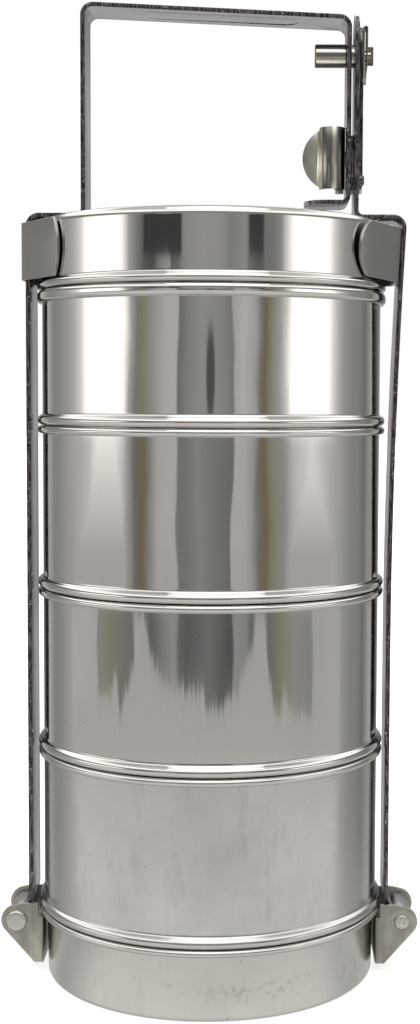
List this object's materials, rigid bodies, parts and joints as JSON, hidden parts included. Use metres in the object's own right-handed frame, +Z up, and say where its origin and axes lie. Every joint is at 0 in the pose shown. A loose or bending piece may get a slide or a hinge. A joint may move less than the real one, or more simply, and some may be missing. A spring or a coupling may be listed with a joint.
{
  "type": "tiffin carrier",
  "caption": "Stacked round steel food carrier with nesting tiers, a deep lid, hinged side straps and a strap handle with a turn lock.",
  "frame": {"origin": "centre of the base's underside, on the table", "axes": "+Z up along the stack's axis; the two straps are on -X and +X, with the lock on the +X leg of the handle; -Y is the front"},
  "size_m": [0.1552, 0.1288, 0.3575],
  "materials": {
    "polished_steel": "mirror polished with faint wipe marks",
    "base_steel": "polished, with fine vertical marks",
    "strap_steel": "polished faces, dark sheared edges",
    "saddle_steel": "satin",
    "lug_steel": "satin with small stains",
    "lock_steel": "bright turned steel"
  },
  "bodies": {
    "base": {"base_cup": "base_steel", "left_lug": "lug_steel", "right_lug": "lug_steel", "left_hinge_pin": "lug_steel", "right_hinge_pin": "lug_steel"},
    "tier_1": {"tier_1": "polished_steel"},
    "tier_2": {"tier_2": "polished_steel"},
    "tier_3": {"tier_3": "polished_steel"},
    "tier_4": {"tier_4": "polished_steel"},
    "lid": {"lid": "polished_steel"},
    "left_arm": {"handle_strap": "strap_steel", "left_saddle": "saddle_steel", "lever_pin": "lock_steel", "lever_bracket": "strap_steel"},
    "right_arm": {"latch_strap": "strap_steel", "right_saddle": "saddle_steel", "keeper_plate": "strap_steel", "keeper_rivet": "lock_steel", "leaf_spring": "lock_steel"},
    "lock": {"lock_shaft": "lock_steel", "lock_knob": "lock_steel", "lock_collar": "lock_steel"},
    "thumb_lever": {"thumb_lever": "lock_steel"}
  },
  "joints": [
    {"name": "tier_1_lift", "type": "slide", "parent": "base", "child": "tier_1", "axis": [0, 0, 1], "range_m": [0, 0.0066]},
    {"name": "tier_2_lift", "type": "slide", "parent": "tier_1", "child": "tier_2", "axis": [0, 0, 1], "range_m": [0, 0.0066]},
    {"name": "tier_3_lift", "type": "slide", "parent": "tier_2", "child": "tier_3", "axis": [0, 0, 1], "range_m": [0, 0.0066]},
    {"name": "tier_4_lift", "type": "slide", "parent": "tier_3", "child": "tier_4", "axis": [0, 0, 1], "range_m": [0, 0.0066]},
    {"name": "lid_lift", "type": "slide", "parent": "tier_4", "child": "lid", "axis": [0, 0, 1], "range_m": [0, 0.0066]},
    {"name": "left_arm_swing", "type": "hinge", "parent": "base", "child": "left_arm", "pos_m": [-0.072, 0, 0.02], "axis": [0, -1, 0], "range_deg": [0, 94]},
    {"name": "right_arm_swing", "type": "hinge", "parent": "base", "child": "right_arm", "pos_m": [0.072, 0, 0.02], "axis": [0, 1, 0], "range_deg": [0, 94]},
    {"name": "lock_turn", "type": "hinge", "parent": "left_arm", "child": "lock", "pos_m": [0.0499, 0, 0.3406], "axis": [1, 0, 0], "range_deg": [0, 90]},
    {"name": "thumb_lever_swing", "type": "hinge", "parent": "left_arm", "child": "thumb_lever", "pos_m": [0.047, 0, 0.30325], "axis": [0, 0, -1], "range_deg": [0, 85]}
  ],
  "couplings": [
    {"joint": "right_arm_swing", "follows": "left_arm_swing", "ratio": 1},
    {"joint": "tier_1_lift", "follows": "left_arm_swing", "m_per_rad": 0.004},
    {"joint": "tier_2_lift", "follows": "left_arm_swing", "m_per_rad": 0.004},
    {"joint": "tier_3_lift", "follows": "left_arm_swing", "m_per_rad": 0.004},
    {"joint": "tier_4_lift", "follows": "left_arm_swing", "m_per_rad": 0.004},
    {"joint": "lid_lift", "follows": "left_arm_swing", "m_per_rad": 0.004}
  ]
}
